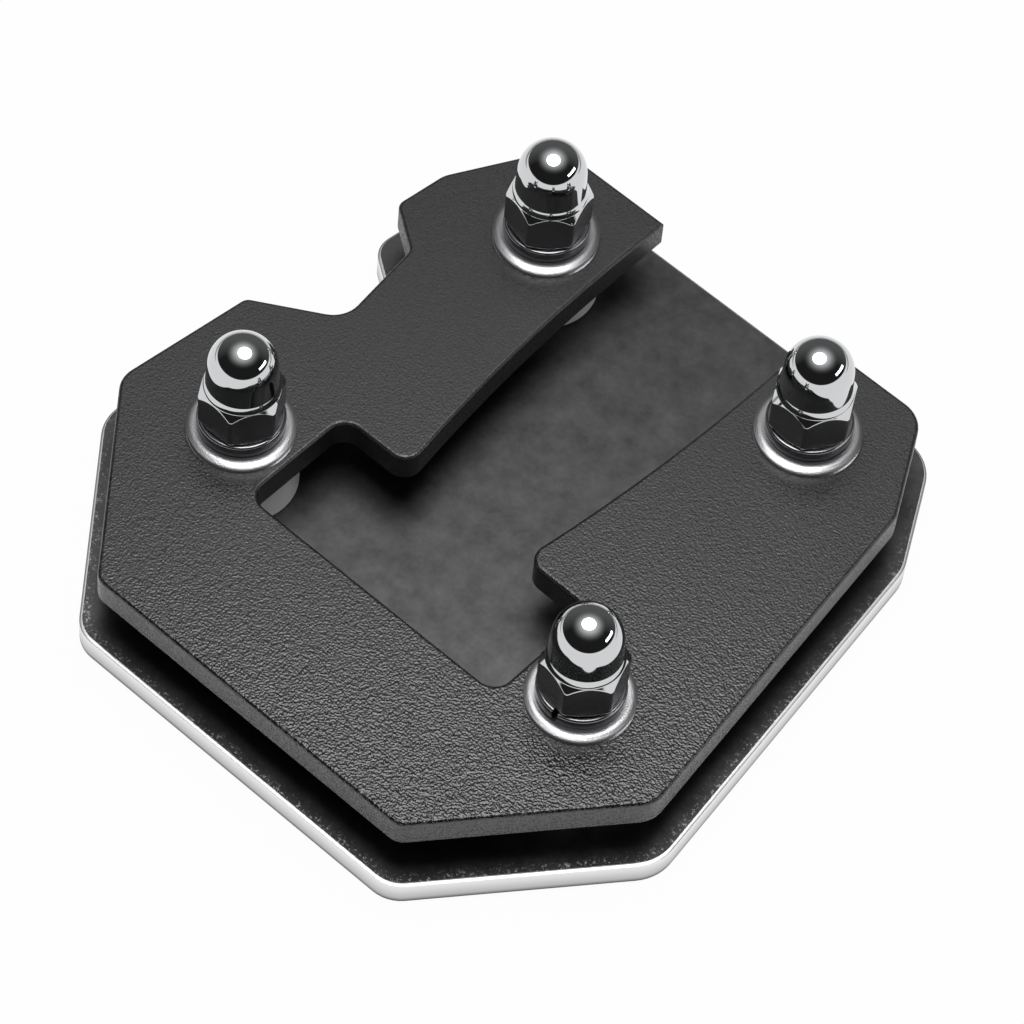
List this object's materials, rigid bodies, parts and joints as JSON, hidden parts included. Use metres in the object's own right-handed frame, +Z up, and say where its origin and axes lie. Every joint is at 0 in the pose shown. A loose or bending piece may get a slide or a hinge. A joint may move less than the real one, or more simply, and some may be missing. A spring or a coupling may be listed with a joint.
{
  "type": "kickstand foot enlarger",
  "caption": "Wide foot for a motorcycle kickstand: a base plate with a slotted upper plate held above it on spacers by countersunk screws and cap nuts.",
  "frame": {"origin": "centre of the base plate's outline on its ground face", "axes": "+Z up from the ground face, +Y towards the open mouth of the channel, +X across the channel, away from the notched side"},
  "size_m": [0.094, 0.0952, 0.0314],
  "materials": {
    "base_aluminium": "satin",
    "black_coat": "wrinkle powder coat",
    "nut_chrome": "polished",
    "spring_steel": "satin",
    "washer_steel": "satin",
    "spacer_aluminium": "satin",
    "screw_steel": "satin"
  },
  "bodies": {
    "root": {"base_plate": "base_aluminium", "top_plate": "black_coat", "cap_nut_front_left": "nut_chrome", "spring_washer_front_left": "spring_steel", "flat_washer_front_left": "washer_steel", "spacer_front_left": "spacer_aluminium", "screw_front_left": "screw_steel", "cap_nut_front_right": "nut_chrome", "spring_washer_front_right": "spring_steel", "flat_washer_front_right": "washer_steel", "spacer_front_right": "spacer_aluminium", "screw_front_right": "screw_steel", "cap_nut_rear_left": "nut_chrome", "spring_washer_rear_left": "spring_steel", "flat_washer_rear_left": "washer_steel", "spacer_rear_left": "spacer_aluminium", "screw_rear_left": "screw_steel", "cap_nut_rear_right": "nut_chrome", "spring_washer_rear_right": "spring_steel", "flat_washer_rear_right": "washer_steel", "spacer_rear_right": "spacer_aluminium", "screw_rear_right": "screw_steel"}
  },
  "joints": []
}
